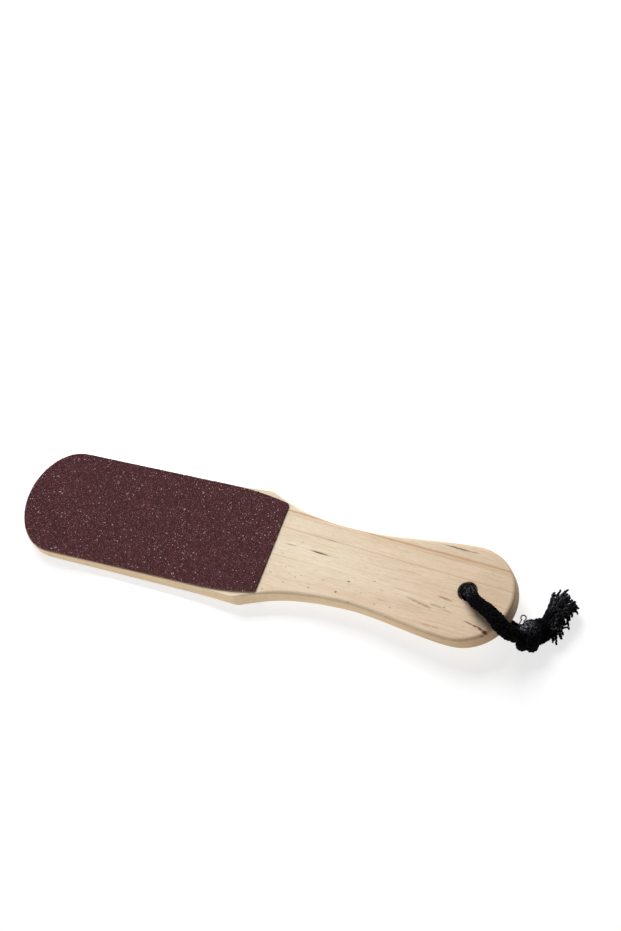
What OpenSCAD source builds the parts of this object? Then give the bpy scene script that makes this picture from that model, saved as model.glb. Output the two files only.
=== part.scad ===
// Double-sided wooden foot file with a cord loop to hang it up by.
// The file lies face up on the tapered rear of its blade, and its cord runs under the handle's end.
// X runs from the tip of the blade to the end of the handle, and Z is up.

/* [Paddle] */
// Overall length, from the tip of the blade to the end of the handle
length = 260; // [235:1:300]
// Width of the blade
blade_width = 55.2; // [50:0.2:60]
// Length of the rounded tip, measured along the blade
tip_length = 23; // [16:0.5:32]
// Distance from the tip to the corner of the shoulder
shoulder_at = 125.6; // [122:0.2:130]
// Width across the two corners of the shoulder
shoulder_width = 57.6; // [55:0.2:64]
// Length over which the sides of the blade widen to the shoulder
flare_length = 30; // [12:1:60]
// Distance from the tip to the narrowest place of the handle
waist_at = 179.6; // [170:0.2:190]
// Width of the handle at its narrowest place
waist_width = 37.8; // [30:0.2:44]
// Radius of the rounded end of the handle
end_radius = 24.2; // [20:0.2:26]
// How far the middle of the rounded end lies to one side, as a hand-sanded handle's does
end_lean = 0.8; // [0:0.1:1.5]
// Distance of the hole for the cord past the middle of the rounded end
hole_offset = 1.6; // [0:0.1:3]
// Thickness of the wood in the handle
thickness = 10; // [8:0.2:12]
// Thickness of the wood at the tip
tip_thickness = 4.9; // [4:0.1:6.5]
// Distance from the tip over which the rear face tapers
taper_length = 107; // [90:1:115]
// Radius of the rounded edges of the handle
handle_edge_radius = 1.4; // [0.8:0.1:2]
// Radius of the eased edges of the blade
blade_edge_radius = 0.4; // [0.2:0.1:0.6]
// Length past the shoulder over which the edges grow rounder
edge_blend_length = 24; // [12:1:40]

/* [Abrasive sheets] */
// Distance from the tip of the wood to the straight end of both sheets
sheet_end_at = 136.6; // [130:0.2:142]
// Distance from the tip at which the sides of the sheets start to draw in
sheet_draw_at = 97; // [60:1:120]
// Width of the sheets at their straight end
sheet_end_width = 47.8; // [44:0.2:50]
// Radius of the two corners at the straight end
sheet_corner_radius = 1.5; // [0.5:0.1:3]
// Bare wood left round the sheets
sheet_margin = 0.5; // [0.1:0.05:1.5]
// Thickness of the film of glue under a sheet
adhesive_thickness = 0.15; // [0.1:0.05:0.3]
// Thickness of the backing paper of a sheet
backing_thickness = 0.5; // [0.3:0.05:0.8]
// Thickness of the coarse grit coat on the front
front_grit_thickness = 0.45; // [0.3:0.05:0.8]
// Thickness of the grit coat on the rear
rear_grit_thickness = 0.45; // [0.3:0.05:0.8]

/* [Cord] */
// Thickness of the cord
cord_diameter = 6.8; // [6:0.1:6.8]
// Room between the cord and the wall of its hole
cord_clearance = 1.25; // [0.8:0.05:2]
// Angle of the long way of the knot, seen from above
knot_angle = 20; // [0:1:45]

/* [Hidden] */

wood_color = [0.87, 0.79, 0.68];
glue_color = [0.85, 0.83, 0.76];
backing_color = [0.45, 0.33, 0.27];
grit_color = [0.30, 0.20, 0.20];
cord_color = [0.05, 0.05, 0.06];

// Overrun of every cut past the surface that it leaves
overrun = 1;

// Number of steps in each stretch of the outline
tip_steps = 12;
flare_steps = 4;
side_steps = 12;
end_steps = 10;
edge_steps = 3;
corner_steps = 4;

// The curve from shoulder to waist steers by these shares of the way between them
shoulder_steer_shares = [0.23, 0.49];
shoulder_waist_share = 0.44;
// The curve from waist to end steers by these shares of the way between them
waist_steer_share = 0.3;
end_steer_share = 0.72;
// The sides of the sheets steer by these shares of the way to their straight end
sheet_steer_shares = [0.4, 0.68];
sheet_steer_width_share = 0.25;

blade_half = blade_width / 2;
shoulder_half = shoulder_width / 2;
waist_half = waist_width / 2;
end_center = length - end_radius;
hole_center = end_center + hole_offset;
hole_radius = cord_diameter / 2 + cord_clearance;

// The rear face slopes by this angle along the blade, and the file lies on that slope
taper_angle = atan((thickness - tip_thickness) / taper_length);
rear_sheet_thickness = adhesive_thickness + backing_thickness + rear_grit_thickness;
lift = tip_thickness * cos(taper_angle) + rear_sheet_thickness;
laid_length = length * cos(taper_angle) + thickness * sin(taper_angle);

// Centre line of the loop: from the knot over the face, down the hole and back under the handle
loop_route = [
    [136.2, -12, 10], [134.6, -13.3, 12.4], [133.6, -14.3, 15.9], [132.2, -14.4, 19.6],
    [128.6, -13.1, 22.9], [123.6, -10.5, 23.9], [118.6, -7.4, 23.4], [114, -4.7, 22.7],
    [110.5, -2.4, 21.9], [107.9, -0.7, 20.4], [106.7, 0, 17.4], [106.9, 0, 13], [106.9, 0, 8.2],
    [107.3, -0.2, 5.6], [108.6, -0.6, 4], [110.6, -1.2, 3.5], [114, -2.4, 3.5], [119, -3.9, 3.5],
    [124, -5.5, 3.5], [128.5, -7.1, 3.6], [132.2, -8.3, 4], [135.5, -9.4, 4.8]
];
// Centre line of the longer frayed end
long_tail_route = [
    [142, -6.8, 7.5], [143.1, -3.2, 7.3], [144.2, 0.6, 7.1], [145.5, 4.2, 7],
    [147, 7.4, 7], [148.6, 10.2, 7], [149.4, 11.6, 7]
];
// Centre line of the shorter frayed end
short_tail_route = [
    [143.2, -11.6, 5.4], [146.8, -10, 4.8], [149.5, -7.6, 4.8], [151, -5.4, 5.8]
];
// Middle of the knot, seen from above
knot_place = [139, -10.5];

// Directions that the flat sides of the tubes are set out from
loop_reference = [0.45, 0.9, 0];
tail_reference = [0, 0, 1];

cord_radius = cord_diameter / 2;
cord_sides = 12;
// The cord is squeezed to this share of its radius where it enters the knot
squeeze_share = 0.75;
// How far the frayed ends spread, as shares of the radius of the cord
long_tail_width_shares = [0.75, 1, 1.15, 1.4, 1.75, 1.95, 1.8];
long_tail_height_shares = [0.75, 1, 1.1, 1.2, 1.35, 1.4, 1.3];
short_tail_width_shares = [0.7, 1, 1.05, 1];
short_tail_height_shares = [0.7, 1, 1, 0.95];

// Size of the knot, as shares of the thickness of the cord: along, across and upright
knot_shares = [1.25, 1.12, 1.1];
// Depth of the grooves between the turns of the knot, as a share of its size
knot_groove_share = 0.08;
knot_turns = 2;
knot_rings = 12;
knot_sides = 24;
// Air under the knot, as a share of the thickness of the cord
knot_air_share = 0.015;

function unit(v) = v / norm(v);

function smooth(s) = let (t = min(max(s, 0), 1)) t * t * (3 - 2 * t);

function bezier(a, b, c, d, steps) = [
    for (i = [1:steps])
        let (t = i / steps, s = 1 - t)
        s * s * s * a + 3 * s * s * t * b + 3 * s * t * t * c + t * t * t * d
];

// One half of a rounded tip, from its foremost point to its full half width
function tip_curve(start, reach, half) = [
    for (i = [0:tip_steps])
        let (turn = 90 * i / tip_steps)
        [start + reach * (1 - cos(turn)), half * sin(turn)]
];

// One half of the outline of the paddle, from the tip to the end of the handle
paddle_half = concat(
    tip_curve(0, tip_length, blade_half),
    [for (i = [0:flare_steps])
        let (s = i / flare_steps)
        [shoulder_at - flare_length * (1 - s), blade_half + (shoulder_half - blade_half) * s * s]],
    bezier([shoulder_at, shoulder_half],
        [shoulder_at + (waist_at - shoulder_at) * shoulder_steer_shares[0],
            shoulder_half + (waist_half - shoulder_half) * shoulder_steer_shares[1]],
        [shoulder_at + (waist_at - shoulder_at) * shoulder_waist_share, waist_half],
        [waist_at, waist_half], side_steps),
    bezier([waist_at, waist_half],
        [waist_at + (end_center - waist_at) * waist_steer_share, waist_half],
        [waist_at + (end_center - waist_at) * end_steer_share, end_radius],
        [end_center, end_radius], side_steps),
    [for (i = [1:end_steps])
        let (turn = 90 * i / end_steps)
        [end_center + end_radius * sin(turn), end_radius * cos(turn)]]
);

// The same outline with a station where the taper of the rear face ends
function with_station(points, x) = [
    for (i = [0:len(points) - 1])
        each i < len(points) - 1 && points[i][0] < x && points[i + 1][0] > x
            ? [points[i], points[i] + (points[i + 1] - points[i])
                * (x - points[i][0]) / (points[i + 1][0] - points[i][0])]
            : [points[i]]
];

stations = with_station(paddle_half, taper_length);
last_station = len(stations) - 1;

// Outward direction of the outline at a station
function outward(i) =
    i == 0 ? [-1, 0] :
    i == last_station ? [1, 0] :
    let (along = unit(stations[i + 1] - stations[i - 1])) [-along[1], along[0]];

function edge_radius(x) = blade_edge_radius
    + (handle_edge_radius - blade_edge_radius) * smooth((x - shoulder_at) / edge_blend_length);

// How far the outline has shifted to one side at a distance from the tip
function side_shift(x) = end_lean * smooth((x - waist_at) / (end_center - waist_at));

// Height of the rear face of the wood below the front face
function rear_depth(x) = min(tip_thickness + x * tan(taper_angle), thickness);

// One corner of the wood: its place along the outline and its turn round the edge
function wood_point(i, layer, side) =
    let (
        rear = layer > edge_steps,
        turn = 90 * (rear ? 2 * edge_steps + 1 - layer : layer) / edge_steps,
        radius = edge_radius(stations[i][0]),
        place = stations[i] - outward(i) * radius * (1 - sin(turn)),
        drop = radius * (1 - cos(turn))
    )
    [place[0], side * place[1] - side_shift(place[0]), rear ? drop - rear_depth(place[0]) : -drop];

ring_count = 2 * last_station;
function ring_point(j, layer) =
    j <= last_station ? wood_point(j, layer, -1) : wood_point(ring_count - j, layer, 1);

// Number of a corner in the list, counted round the outline
function corner(j, layer) = layer * ring_count + j % ring_count;

last_layer = 2 * edge_steps + 1;

// Faces across the wood between the two halves of one ring
function across(layer, up) = [
    for (i = [0:last_station - 1])
        let (
            low = corner(i, layer),
            low_next = corner(i + 1, layer),
            high = corner(ring_count - i, layer),
            high_next = corner(ring_count - i - 1, layer)
        )
        each i == 0 ? [up ? [low, high_next, low_next] : [low, low_next, high_next]] :
            i == last_station - 1 ? [up ? [low, high, low_next] : [low, low_next, high]] :
            up ? [[low, high, high_next], [low, high_next, low_next]]
                : [[low, high_next, high], [low, low_next, high_next]]
];

module wood_blank() {
    polyhedron(
        points = [
            for (layer = [0:last_layer])
                for (j = [0:ring_count - 1])
                    ring_point(j, layer)
        ],
        faces = concat(
            across(0, true),
            across(last_layer, false),
            [for (layer = [0:last_layer - 1])
                for (j = [0:ring_count - 1])
                    each [
                        [corner(j, layer), corner(j + 1, layer), corner(j + 1, layer + 1)],
                        [corner(j, layer), corner(j + 1, layer + 1), corner(j, layer + 1)]
                    ]]
        )
    );
}

// Puts what is drawn with its front face up and level onto the slope of the rear face
module laid() {
    translate([-laid_length / 2, 0, lift])
        rotate([0, -taper_angle, 0])
            children();
}

module paddle() {
    color(wood_color)
        laid()
            difference() {
                wood_blank();
                translate([hole_center, 0, -thickness - overrun])
                    cylinder(h = thickness + 2 * overrun, r = hole_radius, $fn = 64);
            }
}

sheet_half = blade_half - sheet_margin;
sheet_end_half = sheet_end_width / 2;

// One half of the outline of a sheet, from its tip to the middle of its straight end
sheet_half_outline = concat(
    tip_curve(sheet_margin, tip_length - sheet_margin, sheet_half),
    bezier([sheet_draw_at, sheet_half],
        [sheet_draw_at + (sheet_end_at - sheet_draw_at) * sheet_steer_shares[0], sheet_half],
        [sheet_draw_at + (sheet_end_at - sheet_draw_at) * sheet_steer_shares[1],
            sheet_half + (sheet_end_half - sheet_half) * sheet_steer_width_share],
        [sheet_end_at - sheet_corner_radius, sheet_end_half], side_steps),
    [for (i = [1:corner_steps])
        let (turn = 90 * i / corner_steps)
        [sheet_end_at - sheet_corner_radius * (1 - sin(turn)),
            sheet_end_half - sheet_corner_radius * (1 - cos(turn))]]
);

module sheet_outline() {
    last = len(sheet_half_outline) - 1;
    polygon(concat(
        [for (i = [0:last]) [sheet_half_outline[i][0], -sheet_half_outline[i][1]]],
        [for (i = [last:-1:1]) sheet_half_outline[i]]
    ));
}

// A layer on the front face, from one height above the wood to another
module front_layer(low, high) {
    laid()
        translate([0, 0, low])
            linear_extrude(height = high - low)
                sheet_outline();
}

// Place along the blade where a layer at this depth under the rear face bends
function bend_at(depth) =
    (thickness + depth - tip_thickness - depth / cos(taper_angle)) / tan(taper_angle);

function slope_height(x, depth) =
    -tip_thickness - x * tan(taper_angle) - depth / cos(taper_angle);

// A layer on the rear face, from one depth under the wood to another, bent where the taper ends
module rear_layer(top, bottom) {
    far = sheet_end_at + overrun;
    laid()
        intersection() {
            translate([0, 0, -2 * thickness])
                linear_extrude(height = 2 * thickness)
                    sheet_outline();
            rotate([90, 0, 0])
                linear_extrude(height = shoulder_width, center = true)
                    polygon([
                        [-overrun, slope_height(-overrun, top)],
                        [bend_at(top), -thickness - top],
                        [far, -thickness - top],
                        [far, -thickness - bottom],
                        [bend_at(bottom), -thickness - bottom],
                        [-overrun, slope_height(-overrun, bottom)]
                    ]);
        }
}

module front_adhesive() {
    color(glue_color)
        front_layer(0, adhesive_thickness);
}

module front_backing() {
    color(backing_color)
        front_layer(adhesive_thickness, adhesive_thickness + backing_thickness);
}

module front_grit() {
    base = adhesive_thickness + backing_thickness;
    color(grit_color)
        front_layer(base, base + front_grit_thickness);
}

module rear_adhesive() {
    color(glue_color)
        rear_layer(0, adhesive_thickness);
}

module rear_backing() {
    color(backing_color)
        rear_layer(adhesive_thickness, adhesive_thickness + backing_thickness);
}

module rear_grit() {
    base = adhesive_thickness + backing_thickness;
    color(grit_color)
        rear_layer(base, base + rear_grit_thickness);
}

// Direction of a route at one of its points
function heading(route, i) = unit(route[min(i + 1, len(route) - 1)] - route[max(i - 1, 0)]);

// Side faces of a tube whose rings have this many corners
function tube_faces(rings, sides) = concat(
    [[for (k = [0:sides - 1]) k]],
    [[for (k = [sides - 1:-1:0]) (rings - 1) * sides + k]],
    [for (i = [0:rings - 2])
        for (k = [0:sides - 1])
            let (a = i * sides + k, b = i * sides + (k + 1) % sides)
            each [[a, a + sides, b + sides], [a, b + sides, b]]]
);

// A tube along a route, as wide and as high at each point as the lists say
module swept_tube(route, widths, heights, reference) {
    polyhedron(
        points = [
            for (i = [0:len(route) - 1])
                let (
                    along = heading(route, i),
                    across = unit(cross(along, reference)),
                    upward = cross(across, along)
                )
                for (k = [0:cord_sides - 1])
                    let (turn = 360 * k / cord_sides)
                    route[i] + widths[i] * cos(turn) * across + heights[i] * sin(turn) * upward
        ],
        faces = tube_faces(len(route), cord_sides)
    );
}

module cord_loop() {
    last = len(loop_route) - 1;
    radii = [for (i = [0:last]) i == 0 || i == last ? squeeze_share * cord_radius : cord_radius];
    color(cord_color)
        swept_tube(loop_route, radii, radii, loop_reference);
}

module long_tail() {
    color(cord_color)
        swept_tube(long_tail_route, long_tail_width_shares * cord_radius,
            long_tail_height_shares * cord_radius, tail_reference);
}

module short_tail() {
    color(cord_color)
        swept_tube(short_tail_route, short_tail_width_shares * cord_radius,
            short_tail_height_shares * cord_radius, tail_reference);
}

// A point of the knot, drawn in where one turn of the cord lies against the next
function knot_point(along, round) =
    let (
        groove = knot_groove_share * sin(along) * (1 + cos(knot_turns * along + 2 * round)) / 2,
        size = knot_shares * cord_diameter * (1 - groove)
    )
    [-size[0] * cos(along), size[1] * sin(along) * cos(round), size[2] * sin(along) * sin(round)];

module cord_knot() {
    color(cord_color)
        translate([knot_place[0], knot_place[1],
            (knot_shares[2] + knot_air_share) * cord_diameter])
            rotate([0, 0, knot_angle])
                polyhedron(
                    points = [
                        for (i = [1:knot_rings - 1])
                            for (k = [0:knot_sides - 1])
                                knot_point(180 * i / knot_rings, 360 * k / knot_sides)
                    ],
                    faces = tube_faces(knot_rings - 1, knot_sides)
                );
}

paddle();
front_adhesive();
front_backing();
front_grit();
rear_adhesive();
rear_backing();
rear_grit();
cord_loop();
cord_knot();
long_tail();
short_tail();
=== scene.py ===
# %% [markdown]
# # A wooden foot file with a cotton cord
#
# The object is a flat paddle of pale birch with a sheet of abrasive glued on each side of its blade, and a
# soft black cotton cord knotted through the hole in its handle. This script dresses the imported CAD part: it
# keeps the layers of glue and paper as they are, and gives the wood, the grit and the cord fuller shapes and
# finishes.

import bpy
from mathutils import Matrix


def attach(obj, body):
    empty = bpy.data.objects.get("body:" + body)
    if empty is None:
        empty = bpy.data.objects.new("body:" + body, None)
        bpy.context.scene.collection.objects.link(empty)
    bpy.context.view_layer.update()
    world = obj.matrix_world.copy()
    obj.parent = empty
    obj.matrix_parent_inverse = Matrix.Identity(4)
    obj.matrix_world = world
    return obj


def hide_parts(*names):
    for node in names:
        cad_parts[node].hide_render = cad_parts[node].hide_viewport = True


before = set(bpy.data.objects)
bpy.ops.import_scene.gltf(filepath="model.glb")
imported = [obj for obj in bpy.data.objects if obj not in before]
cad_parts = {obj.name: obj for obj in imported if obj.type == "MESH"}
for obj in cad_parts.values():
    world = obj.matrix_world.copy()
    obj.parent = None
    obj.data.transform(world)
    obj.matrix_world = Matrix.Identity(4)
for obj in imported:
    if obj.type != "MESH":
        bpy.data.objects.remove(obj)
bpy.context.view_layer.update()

# %% [markdown]
# ## Units and small helpers
#
# The part is made in metres, but a maker thinks of it in millimetres. So every size below is written in
# millimetres and turned to metres where a mesh needs it.

# %% Helpers for sizes
import math
import random

import bmesh
import bpy
from mathutils import Matrix, Quaternion, Vector
from mathutils.geometry import interpolate_bezier

MM = 0.001
UP = Vector((0, 0, 1))
FULL_TURN = 2 * math.pi


def share_between(low, high, share):
    """The number or place at this share of the way from low to high."""
    return low + (high - low) * share


def ease(share):
    """A share from 0 to 1 that starts and ends gently."""
    held = min(max(share, 0), 1)
    return held * held * (3 - 2 * held)


print("One millimetre is", MM, "of a Blender unit")

# %% [markdown]
# ## The camera
#
# The photograph was taken from above the handle's end with a long lens, and the camera was rolled so that the
# blade points to the left. A camera is placed most plainly by where it stands, the point that it looks at and
# its roll. Euler angles would do the same, but nobody could read them.

# %% Camera
camera_place = Vector((0.45568, -0.38863, 1.04278))
camera_aim = Vector((0.00766, 0.04688, 0.01))
camera_roll = math.radians(-28.563)
camera_lens = 96.67
sensor_width = 36


def add_object(name, data):
    """A new object in the scene."""
    made = bpy.data.objects.new(name, data)
    bpy.context.collection.objects.link(made)
    return made


def pointing(place, aim):
    """The turn with which a camera or a lamp at one place points at another."""
    return (Vector(aim) - Vector(place)).to_track_quat("-Z", "Y")


camera_data = bpy.data.cameras.new("studio_camera")
camera_data.lens = camera_lens
camera_data.sensor_width = sensor_width
camera = add_object("studio_camera", camera_data)
camera.location = camera_place
rolled = pointing(camera_place, camera_aim) @ Quaternion((0, 0, 1), camera_roll)
camera.rotation_euler = rolled.to_euler()
bpy.context.scene.camera = camera
print("The camera stands", round((camera_aim - camera_place).length, 3), "m from what it looks at")

# %% [markdown]
# ## The route of the cord
#
# A cord is one length of something soft, so it starts from its centre line: out of the knot, up over the face
# of the handle, down through the hole and back under the handle into the knot. These are the same points as
# in the CAD part. A smooth line is run through them, and points are set out evenly on it.

# %% Centre line of the cord
cord_diameter = 6.8

loop_route = [
    (136.2, -12, 10), (134.6, -13.3, 12.4), (133.6, -14.3, 15.9), (132.2, -14.4, 19.6),
    (128.6, -13.1, 22.9), (123.6, -10.5, 23.9), (118.6, -7.4, 23.4), (114, -4.7, 22.7),
    (110.5, -2.4, 21.9), (107.9, -0.7, 20.4), (106.7, 0, 17.4), (106.9, 0, 13), (106.9, 0, 8.2),
    (107.3, -0.2, 5.6), (108.6, -0.6, 4), (110.6, -1.2, 3.5), (114, -2.4, 3.5), (119, -3.9, 3.5),
    (124, -5.5, 3.5), (128.5, -7.1, 3.6), (132.2, -8.3, 4), (135.5, -9.4, 4.8),
]


def smooth_line(route, steps=12):
    """A smooth line through all points of a route."""
    points = [Vector(point) for point in route]
    last = len(points) - 1
    line = []
    for here in range(last):
        start, end = points[here], points[here + 1]
        leaving = (end - points[max(here - 1, 0)]) / 6
        arriving = (points[min(here + 2, last)] - start) / 6
        line += interpolate_bezier(start, start + leaving, end - arriving, end, steps + 1)[:-1]
    return line + [points[-1]]


def line_length(line):
    """Length of a line of points."""
    return sum((b - a).length for a, b in zip(line, line[1:]))


def evenly_spaced(line, spacing):
    """The same line with points at an even spacing."""
    count = max(2, round(line_length(line) / spacing))
    step = line_length(line) / count
    spaced = [line[0].copy()]
    walked = 0
    for a, b in zip(line, line[1:]):
        stretch = (b - a).length
        while stretch > 0 and len(spaced) * step <= walked + stretch + 1e-9 and len(spaced) <= count:
            spaced.append(a.lerp(b, (len(spaced) * step - walked) / stretch))
        walked += stretch
    return spaced


def side_directions(line, first_side):
    """The heading at each point of a line and two directions square to it, turning as little as they can."""
    last = len(line) - 1
    side = Vector(first_side)
    directions = []
    for here in range(last + 1):
        heading = (line[min(here + 1, last)] - line[max(here - 1, 0)]).normalized()
        side = (side - heading * side.dot(heading)).normalized()
        directions.append((heading, side, heading.cross(side)))
    return directions


print("Free stretch of the cord:", round(line_length(smooth_line(loop_route)), 1), "mm")

# %% [markdown]
# ## Braiding the cord
#
# The real cord is braided: groups of two cotton yarns run round it both ways, and each group goes over one
# and under the next. A bump map would give the shading, but the outline would stay smooth, and the outline is
# most of what one sees of a black cord. So the yarns are real curves. Each yarn is a screw line round the
# centre line, and its distance from it swings in and out once for each pair of crossings.
#
# Round a cord of 6.8 mm, six groups of two yarns 1.2 mm thick fill the surface when they run at 40 degrees.
# Soft yarn is never even, so each one also wanders and swells a little, by its own seeded amount. It wanders
# round the cord by an angle in radians and outwards in millimetres, and swells by a share of its thickness.

# %% Yarns of a braid
yarn_thickness = 1.2
yarn_spacing = 1.32
groups_each_way = 6
yarns_in_group = 2
braid_angle = math.radians(40)
crossing_swing = 0.46
braid_radius = cord_diameter / 2 - crossing_swing - yarn_thickness / 2
braid_lead = FULL_TURN * braid_radius / math.tan(braid_angle)
sideways_wander, outward_wander, swelling = 0.07, 0.16, 0.12
slow_waves, quick_waves = (0.5, 0.8), (1.1, 1.7)
chance = random.Random(11)


def braid_yarns(line, first_side, girth):
    """Yarns of a braid round a line, as lists of places with a share of the full thickness at each.

    girth gives the size of the cord at each share of the line, as a share of its full size."""
    directions = side_directions(line, first_side)
    spacing = line_length(line) / (len(line) - 1)
    yarns = []
    for way in (1, -1):
        for strand in range(groups_each_way * yarns_in_group):
            group, member = divmod(strand, yarns_in_group)
            beside = (member - (yarns_in_group - 1) / 2) * yarn_spacing / braid_radius
            start = FULL_TURN * group / groups_each_way + beside
            wander = chance.uniform(0, 6)
            slow, quick = chance.uniform(*slow_waves), chance.uniform(*quick_waves)
            yarn = []
            for here, (point, (_, side, other)) in enumerate(zip(line, directions)):
                along = here * spacing
                size = girth(here / (len(line) - 1))
                uneven = 0.6 * math.sin(slow * along + wander) + 0.4 * math.sin(quick * along + 2 * wander)
                turn = start + way * FULL_TURN * along / braid_lead + sideways_wander * uneven
                swing = way * math.cos(FULL_TURN * groups_each_way * along / braid_lead)
                out = (braid_radius + crossing_swing * swing + outward_wander * uneven) * size
                place = point + (side * math.cos(turn) + other * math.sin(turn)) * out
                yarn.append((place, size * (1 + swelling * math.sin(quick * along + 3 * wander))))
            yarns.append(yarn)
    return yarns


print("The braid turns once every", round(braid_lead, 1), "mm")

# %% [markdown]
# ### From lines to yarn
#
# A curve object with a bevel turns any number of lines into round yarns at once. It is then made a mesh,
# because a finished piece is one plain mesh and a cord is braided from many lines. The mesh keeps the curve's
# UV map, which runs along each yarn and round it.

# %% Curves into meshes


def finished_mesh(made, *helpers):
    """The mesh of an object as its bevel or its modifiers shape it. The object and its helpers go."""
    mesh = bpy.data.meshes.new_from_object(made.evaluated_get(bpy.context.evaluated_depsgraph_get()))
    for tool in (made, *helpers):
        bpy.data.objects.remove(tool)
    return mesh


def yarn_mesh(yarns, thickness, roundness=1):
    """A mesh of round yarns along lines of (place in mm, share of the thickness)."""
    curve = bpy.data.curves.new("yarns", "CURVE")
    curve.dimensions = "3D"
    curve.bevel_depth = thickness / 2 * MM
    curve.bevel_resolution = roundness
    curve.use_fill_caps = True
    for yarn in yarns:
        spline = curve.splines.new("POLY")
        spline.points.add(len(yarn) - 1)
        for point, (place, size) in zip(spline.points, yarn):
            point.co = (*(place * MM), 1)
            point.radius = size
        spline.use_smooth = True
    mesh = finished_mesh(add_object("yarns", curve))
    bpy.data.curves.remove(curve)
    return mesh


def named_mesh(name, shape):
    """A mesh made of a bmesh, which is then let go."""
    mesh = bpy.data.meshes.new(name)
    shape.to_mesh(mesh)
    shape.free()
    return mesh


def add_shape(name, shape):
    """A new object made of a bmesh."""
    return add_object(name, named_mesh(name, shape))


def new_piece(name, meshes, body):
    """One named piece made of one or more meshes, riding on a body."""
    joined = bmesh.new()
    for mesh in meshes:
        joined.from_mesh(mesh)
        bpy.data.meshes.remove(mesh)
    piece = add_shape(name, joined)
    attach(piece, body)
    print(name, "has", sum(len(face.vertices) - 2 for face in piece.data.polygons), "triangles")
    return piece


# %% [markdown]
# ### The free stretch
#
# The loop is drawn in where it enters the knot, and it bulges where it bends over the rim of the handle,
# because the inner yarns of a bend are pushed out sideways. A soft cord also sinks a little to one side, over
# the rim and where it comes out of the hole. Inside the yarns is a plain core, which fills the cord as the
# real one's core does.

# %% Braided loop
point_spacing = 0.45
core_thickness = cord_diameter * 0.62
core_roundness = 3
# Places along the loop, as shares of its length: over the rim, out of the hole and inside the hole.
rim_at, mouth_at, hole_at = 0.15, 0.36, 0.42
squeezed_girth = 0.8
rim_bulge = 0.2
hole_pinch = 0.05
side_sag = Vector((-0.42, -0.72, 0))


def near(share, middle, reach):
    """1 at a place along the cord, and gently down to 0 at this reach from it."""
    return ease(1 - abs(share - middle) / reach)


def past_ends(share, reach):
    """0 at both ends of the cord, and gently up to 1 at this reach from them."""
    return ease(min(share, 1 - share) / reach)


def loop_girth(share):
    """Size of the loop along its length: squeezed by the knot, full over the rim, snug in the hole."""
    free = share_between(squeezed_girth, 1, past_ends(share, 0.05))
    return free + rim_bulge * near(share, rim_at, 0.2) - hole_pinch * near(share, hole_at, 0.12)


def sagging(share):
    """How much the cord has sunk to one side."""
    return near(share, rim_at, 0.08) + near(share, mouth_at, 0.1)


def braided(line, first_side, girth):
    """A braided stretch of cord: its yarns, and the meshes of its yarns and its core."""
    yarns = braid_yarns(line, first_side, girth)
    core = [(point, girth(here / (len(line) - 1))) for here, point in enumerate(line)]
    return yarns, [yarn_mesh(yarns, yarn_thickness), yarn_mesh([core], core_thickness, core_roundness)]


smooth_loop = evenly_spaced(smooth_line(loop_route), point_spacing)
loop_line = [p + side_sag * sagging(i / (len(smooth_loop) - 1)) for i, p in enumerate(smooth_loop)]
loop_yarns, loop_meshes = braided(loop_line, (0.45, 0.9, 0), loop_girth)
cord_loop = new_piece("braided_loop", loop_meshes, "cord")
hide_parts("cord_loop")

# %% [markdown]
# ### The knot
#
# The cord is tied in an overhand knot. Seen from outside, such a knot is a few turns of the cord wound
# tightly over the rest, leaning like a screw thread. So the same braid is wound along a short screw line. It
# rises out of the middle of the knot at one end and dives back in at the other, over a filling of more cord.

# %% Overhand knot
knot_place = Vector((139, -10.2, 7.7))
knot_angle = math.radians(20)
knot_along = Vector((math.cos(knot_angle), math.sin(knot_angle), 0))
knot_across = Vector((-math.sin(knot_angle), math.cos(knot_angle), 0))
knot_half_length = 6.2
knot_pitch = 4.3
first_low_turn = -2.3
fullest_at = 1.2
turn_across = 4.6
turn_upright = 4.2
knot_length_share = 8.2
turn_lean = 0.3
risen_at_ends = 0.3
rising_share = 0.17
# How full the cord is where it dives under, and how much more it is further on and past the middle.
dive_girth, pulled_girth, full_girth = 0.78, 0.12, 0.14
# Places along the knot from its middle, and the size of the filling there as a share of a core.
filling_sizes = [(-6.5, 0.8), (-5, 1.5), (-2.5, 2.3), (0, 2.9), (2.5, 2.8), (5, 1.9), (6.5, 1)]
filling_roundness = 5


def knot_line(steps=120):
    """The screw line of the turns that show."""
    line = []
    for step in range(steps + 1):
        share = step / steps
        along = share_between(-knot_half_length, knot_half_length, share)
        turn = math.pi - FULL_TURN * (along - first_low_turn) / knot_pitch
        bulge = math.sqrt(1 - ((along - fullest_at) / knot_length_share) ** 2)
        risen = bulge * share_between(risen_at_ends, 1, past_ends(share, rising_share))
        round_it = knot_across * turn_across * math.cos(turn) + UP * turn_upright * math.sin(turn)
        leaning = knot_along * turn_lean * turn_across * math.cos(turn)
        line.append(knot_place + knot_along * along + (round_it + leaning) * risen)
    return line


def knot_girth(share):
    """The turns of the knot are pulled tight, and most so where they dive under."""
    return dive_girth + pulled_girth * past_ends(share, 0.12) + full_girth * ease((share - 0.35) / 0.3)


turns_line = evenly_spaced(knot_line(), point_spacing)
turns_yarns, turns_meshes = braided(turns_line, (1, 0, 0.2), knot_girth)
filling = [(knot_place + knot_along * along, size) for along, size in filling_sizes]
filling_mesh = yarn_mesh([filling], core_thickness, filling_roundness)
cord_knot = new_piece("overhand_knot", turns_meshes + [filling_mesh], "cord")
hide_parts("cord_knot")

# %% [markdown]
# ### The frayed ends
#
# Past the knot nothing holds the braid, so it comes apart into its yarns. They keep the wave that the braid
# pressed into them. The yarns of the longer end leave the knot side by side and fall over to one side like a
# mop, so the ones on the right curl the most. The shorter end is cut off square and turned up, and a few of
# its outer yarns hang down. Each yarn is one Bezier curve: where it leaves the knot and in which direction,
# and where its tip lies and from which direction it comes. Its last third hooks a little to any side.

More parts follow.
